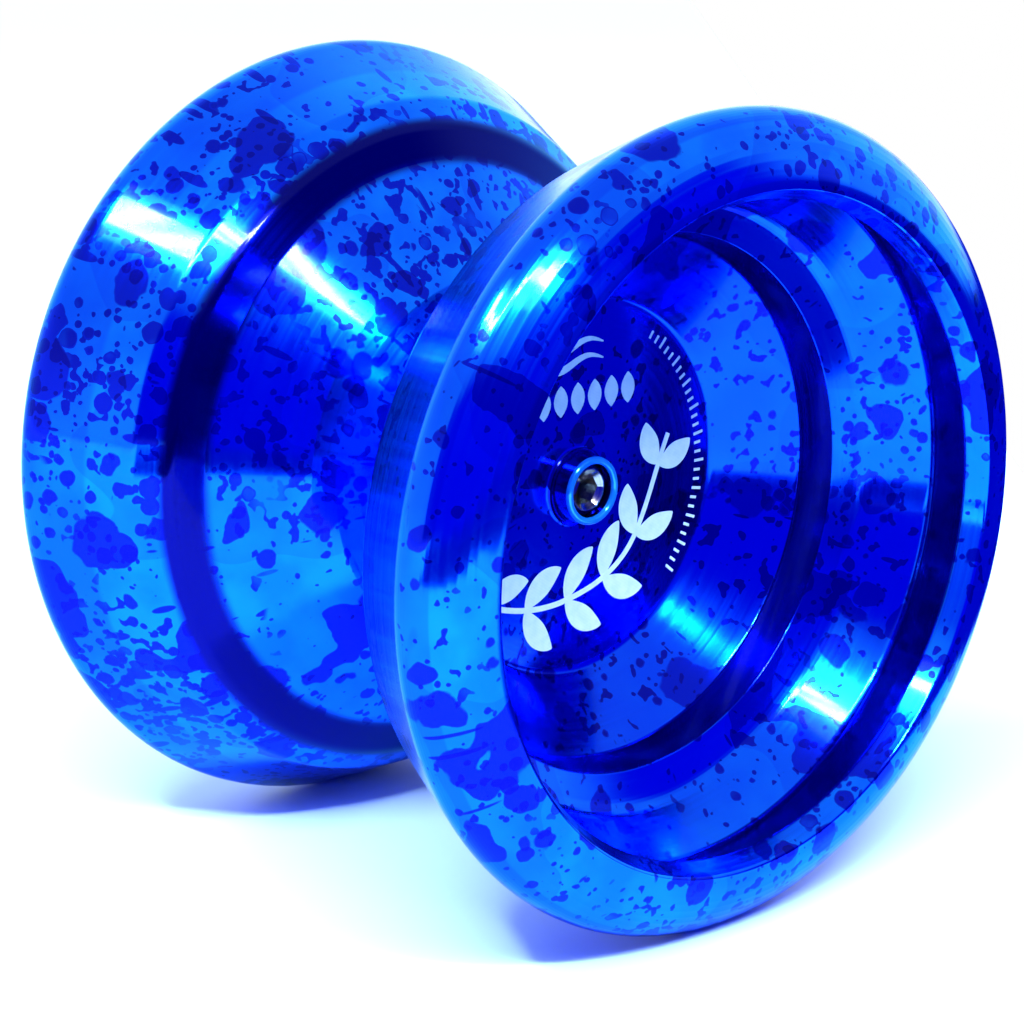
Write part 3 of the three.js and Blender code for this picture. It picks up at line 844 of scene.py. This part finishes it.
def leaf(bm, root, heading, length, bend, width):
    """A bowed, pointed leaf that leaves root at the heading, in degrees, and turns by bend."""
    path = [root]
    steps = 16
    for i in range(steps):
        angle = math.radians(heading + bend * i / steps)
        path.append(path[-1] + Vector((math.cos(angle), math.sin(angle))) * length / steps)
    stroke(bm, path, taper(width, 0.1))


def sprig(bm):
    """A stem with leaves on both sides, the longest in the middle."""
    stem = curve([Vector(knot) for knot in SPRIG_KNOTS])
    stroke(bm, stem, steady(STEM_WIDTH), high=STEM_HEIGHT)
    for i in range(LEAF_PAIRS):
        at = round((i + 0.6) / LEAF_PAIRS * (len(stem) - 2))
        along = stem[at + 1] - stem[at]
        heading = math.degrees(math.atan2(along.y, along.x))
        length = LEAF_LENGTH * (0.75 + 0.25 * math.sin(math.pi * (i + 0.5) / LEAF_PAIRS))
        leaf(bm, stem[at], heading + LEAF_ANGLE, length, -LEAF_BEND, LEAF_WIDTH)
        leaf(bm, stem[at], heading - LEAF_ANGLE, length, LEAF_BEND, LEAF_WIDTH)


def engraving(name, side):
    """Plain ornament: a leafy sprig below the boss, lozenges and waves above, ticks at the edge."""
    bm = bmesh.new()
    sprig(bm)
    for i in range(LOZENGES):
        y = LOZENGE_START + LOZENGE_SPACING * i
        path = [Vector((y, LOZENGE_FOOT + LOZENGE_LENGTH * step / 8)) for step in range(9)]
        stroke(bm, path, taper(LOZENGE_WIDTH, 0.08))
    for i in range(WAVES):
        path = []
        for step in range(61):
            share = step / 60
            swing = WAVE_SWING * math.sin(share * 3 * math.pi)
            path.append(Vector((WAVE_START + WAVE_LENGTH * share, WAVE_FOOT + WAVE_SPACING * i + swing)))
        stroke(bm, path, taper(WAVE_WIDTH, 0.1))
    for i in range(TICKS):
        angle = math.radians(TICK_START + TICK_SPACING * i)
        heading = Vector((math.cos(angle), math.sin(angle)))
        outer = TICK_OUTER + LONG_TICK * (i % 3 == 0)
        middle = (TICK_INNER + TICK_OUTER) / 2
        stroke(bm, [heading * reach for reach in (TICK_INNER, middle, outer)], steady(TICK_WIDTH))
    return finish_mesh(name, bm, side, sharp=20)


# ---------------------------------------------------------------- the yo-yo

blue_right = splattered("anodised_right", shift=(13.0, 41.0, 5.0), density=1.0,
                        torn_share=-0.06, streak_share=0.22)
blue_left = splattered("anodised_left", shift=(-37.0, 8.0, 22.0), density=1.15,
                       torn_share=0.0, streak_share=0.38)
etch = etched("laser_etch")
race_steel = turned_steel("race_steel", (0.60, 0.61, 0.63, 1), (0.74, 0.75, 0.77, 1), 0.16, 5.0)
shield_steel = turned_steel("shield_steel", (0.52, 0.53, 0.55, 1), (0.68, 0.69, 0.71, 1), 0.28, 8.0)
spring_steel = turned_steel("spring_steel", (0.30, 0.31, 0.33, 1), (0.46, 0.47, 0.49, 1), 0.3, 8.0)
cage_steel = turned_steel("cage_steel", (0.50, 0.50, 0.51, 1), (0.64, 0.64, 0.65, 1), 0.35, 6.0)
axle_steel = turned_steel("axle_steel", (0.26, 0.27, 0.28, 1), (0.42, 0.43, 0.44, 1), 0.16, 6.0)
ball_steel = polished_steel("ball_steel")
pad_silicone = silicone("pad_silicone")

HALVES = [
    ("left", LEFT, "left_side", blue_left),
    ("right", RIGHT, "right_side", blue_right),
]
for word, side, body, blue in HALVES:
    half = turned(f"{word}_half_shell", half_outline(), HALF_SEGMENTS, side)
    place(half, body, "anodised_blue", blue, f"{word}_half")
    place(engraving(f"{word}_engraving", side), body, "anodised_blue", etch)
    pad = response_pad(f"{word}_pad", side)
    place(pad, body, "silicone_white", pad_silicone, f"response_pad_{word}")
    washer = shield(f"{word}_shield", side)
    place(washer, "outer_race", "shield_steel", shield_steel, f"bearing_shield_{word}")
    wire = snap_ring(f"{word}_snap_ring", side)
    place(wire, "outer_race", "spring_steel", spring_steel, f"snap_ring_{word}")

place(threaded_axle(), "left_side", "axle_steel", axle_steel, "axle")
place(inner_race(), "inner_race", "bearing_steel", race_steel, "bearing_inner_race")
place(outer_race(), "outer_race", "bearing_steel", race_steel, "bearing_outer_race")
place(cage(), "cage", "cage_steel", cage_steel, "bearing_cage")
for index in range(BALL_COUNT):
    place(ball(index), f"ball_{index + 1}", "ball_steel", ball_steel, f"bearing_ball_{index + 1}")


# ---------------------------------------------------------------- floor, light and camera

# Floor: how far its edges lie from the yo-yo, looking towards azimuth FLOOR_TURN, in metres, and its
# colour near the yo-yo, darker and blue there as painted blue shade, and far from it
FLOOR_TURN = 50
FLOOR_FRONT, FLOOR_RIGHT, FLOOR_LEFT, FLOOR_BACK = 0.177, 0.110, 3.0, 4.0
NOTCH_FRONT, NOTCH_RIGHT = 0.045, 0.055
FRONT_LEFT_CORNERS = ((FLOOR_FRONT, -0.10), (FLOOR_LEFT, -0.6))
FLOOR_NEAR_SHADE, FLOOR_FAR = (0.29, 0.50, 0.80, 1), (0.95, 0.97, 1.0, 1)
FADE_START, FADE_END = 0.4, 1.1

# Room light by direction, and the lamps' paths as azimuth and elevation
BACKDROP_AZIMUTH, DARK_AZIMUTH = 227, 78
ROOM_LIGHT = (1.05, 1.05, 1.08, 1)
BACKDROP_LIGHT = (2.4, 2.4, 2.5, 1)
DARK_ROOM_LIGHT = (0.001, 0.005, 0.85, 1)
UNDER_LIGHT = (0.0, 0.006, 0.60, 1)
HORIZON_LIGHT = (1.5, 1.6, 1.7, 1)
LAMP_RADIANCE, DIFFUSER_RADIANCE = 420, 6
LAMP_PATH = ((4, 55), (24, 49), (45, 49), (64, 51), (76, 45))
LEFT_LAMP_PATH = ((-20, 54), (-9, 56), (3, 55))
RIGHT_LAMP_PATH = ((74, 46), (83, 42))


def direction(azimuth, elevation):
    """Unit vector towards a place round the object: azimuth 0 is the -Y side, 90 the +X side."""
    a, e = math.radians(azimuth), math.radians(elevation)
    return Vector((math.sin(a) * math.cos(e), -math.cos(a) * math.cos(e), math.sin(e)))


def lamp_row(name, corners, steps, height, gap, radiance, on_matt=True):
    """Short lamps in a row, a metre away, along a path of (azimuth, elevation) corners, with steps
    lamps between two corners and a share of gap between two lamps.

    With on_matt off they only give highlights, and leave matt surfaces as they are."""
    path = curve([direction(*corner) for corner in corners], steps)
    for i, (first, last) in enumerate(zip(path, path[1:])):
        middle = (first + last) / 2
        along = (last - first).normalized()
        facing = (middle - along * middle.dot(along)).normalized()
        data = bpy.data.lights.new(f"{name}_{i + 1}", "AREA")
        data.shape = "RECTANGLE"
        data.size, data.size_y = (last - first).length * (1 - gap), height
        data.energy = radiance * math.pi * data.size * data.size_y
        lamp = bpy.data.objects.new(data.name, data)
        lamp.visible_diffuse = on_matt
        turn = Matrix((along, facing.cross(along), facing)).transposed().to_4x4()
        lamp.matrix_world = Matrix.Translation(middle) @ turn
        bpy.context.scene.collection.objects.link(lamp)


def studio_floor():
    """Pale card that fills the camera's view, whose front and right edges end on the dark room. Near the
    yo-yo its colour is darker and blue: painted blue shade.
    """
    towards = direction(FLOOR_TURN, 0)
    across = Vector((-towards.y, towards.x, 0))
    level = Vector((0, 0, cad_bounds[0][2]))
    corners = [(FLOOR_FRONT, FLOOR_RIGHT), *FRONT_LEFT_CORNERS, (FLOOR_LEFT, -FLOOR_LEFT),
               (-FLOOR_BACK, -FLOOR_LEFT), (-FLOOR_BACK, NOTCH_RIGHT),
               (NOTCH_FRONT, NOTCH_RIGHT), (NOTCH_FRONT, FLOOR_RIGHT)]
    places = [towards * u + across * v + level for u, v in corners]
    mesh = bpy.data.meshes.new("studio_floor")
    mesh.from_pydata(places, [], [tuple(range(len(corners)))])
    floor = bpy.data.objects.new("studio_floor", mesh)
    bpy.context.scene.collection.objects.link(floor)
    shader = Shader("floor_white")
    away = shader.vector("LENGTH", shader.node("ShaderNodeTexCoord", "Object"), (0, 0, 0))
    # Painted blue shade: darker and bluer near the yo-yo, fading to pale further out.
    shader.feed(shader.surface.inputs["Base Color"],
                shader.mix(shader.ramp(away, FADE_START, FADE_END), FLOOR_NEAR_SHADE, FLOOR_FAR))
    shader.set(Roughness=0.6, Specular_IOR_Level=0.3)
    mesh.materials.append(shader.material)


def studio_world():
    """Light walls, brighter behind the yo-yo, and a dark blue room on the camera's side and below.

    The camera sees all of it as white."""
    world = bpy.data.worlds.new("studio")
    bpy.context.scene.world = world
    world.use_nodes = True
    tree = world.node_tree
    tree.nodes.clear()

    def add(kind, **inputs):
        node = tree.nodes.new(kind)
        for key, value in inputs.items():
            socket = node.inputs[int(key[1:])] if key[0] == "i" else node.inputs[key.replace("_", " ")]
            if isinstance(value, bpy.types.NodeSocket):
                tree.links.new(value, socket)
            else:
                socket.default_value = value
        return node

    def dot(vector):
        node = add("ShaderNodeVectorMath", i1=vector)
        node.operation = "DOT_PRODUCT"
        tree.links.new(where, node.inputs[0])
        return node.outputs["Value"]

    def step(value, low, high):
        node = add("ShaderNodeMapRange", Value=value, From_Min=low, From_Max=high)
        node.interpolation_type = "SMOOTHSTEP"
        return node.outputs["Result"]

    def mix(factor, a, b):
        node = add("ShaderNodeMix")
        node.data_type = "RGBA"
        for key, value in (("Factor", factor), ("A", a), ("B", b)):
            if isinstance(value, bpy.types.NodeSocket):
                tree.links.new(value, node.inputs[key])
            else:
                node.inputs[key].default_value = value
        return node.outputs["Result"]

    where = add("ShaderNodeTexCoord").outputs["Generated"]
    behind = step(dot(direction(BACKDROP_AZIMUTH, 0)), 0.25, 0.75)
    up = dot(Vector((0, 0, 1)))
    horizon = step(up, math.sin(math.radians(30)), math.sin(math.radians(8)))
    walls = mix(horizon, ROOM_LIGHT, HORIZON_LIGHT)
    light = mix(behind, walls, BACKDROP_LIGHT)
    towards_dark = dot(direction(DARK_AZIMUTH, 0))
    sideways = step(towards_dark, math.cos(math.radians(70)), math.cos(math.radians(58)))
    low = step(up, math.sin(math.radians(38)), math.sin(math.radians(28)))
    dark = add("ShaderNodeMath", i0=sideways, i1=low)
    dark.operation = "MULTIPLY"
    light = mix(dark.outputs[0], light, DARK_ROOM_LIGHT)
    light = mix(step(up, -0.02, -0.08), light, UNDER_LIGHT)
    light = mix(add("ShaderNodeLightPath").outputs["Is Camera Ray"], light, (1, 1, 1, 1))
    background = add("ShaderNodeBackground", Color=light, Strength=1.0)
    output = add("ShaderNodeOutputWorld")
    tree.links.new(background.outputs[0], output.inputs["Surface"])


def camera():
    """Camera at the photograph's viewing angle."""
    data = bpy.data.cameras.new("camera")
    data.lens = VIEW_LENS
    data.sensor_width = SENSOR_WIDTH
    data.clip_start, data.clip_end = 0.01, 20
    camera = bpy.data.objects.new("camera", data)
    back = direction(VIEW_AZIMUTH, VIEW_ELEVATION)
    turn = math.radians(VIEW_AZIMUTH)
    right = Vector((math.cos(turn), math.sin(turn), 0))
    up = back.cross(right)
    slide, rise = VIEW_SLIDE
    camera.location = (back * VIEW_DISTANCE + right * slide + up * rise) * MM
    camera.rotation_mode = "QUATERNION"
    camera.rotation_quaternion = back.to_track_quat("Z", "Y")
    bpy.context.scene.collection.objects.link(camera)
    bpy.context.scene.camera = camera


studio_floor()
studio_world()
lamp_row("lamp", LAMP_PATH, 6, 0.055, 0.35, LAMP_RADIANCE)
lamp_row("left_lamp", LEFT_LAMP_PATH, 5, 0.13, 0.4, LAMP_RADIANCE, on_matt=False)
lamp_row("right_lamp", RIGHT_LAMP_PATH, 4, 0.12, 0.3, LAMP_RADIANCE, on_matt=False)
diffuser_path = (*LEFT_LAMP_PATH[:2], *LAMP_PATH, RIGHT_LAMP_PATH[-1])
lamp_row("diffuser", diffuser_path, 1, 0.26, 0.0, DIFFUSER_RADIANCE)
camera()
bpy.context.scene.view_settings.view_transform = "Standard"
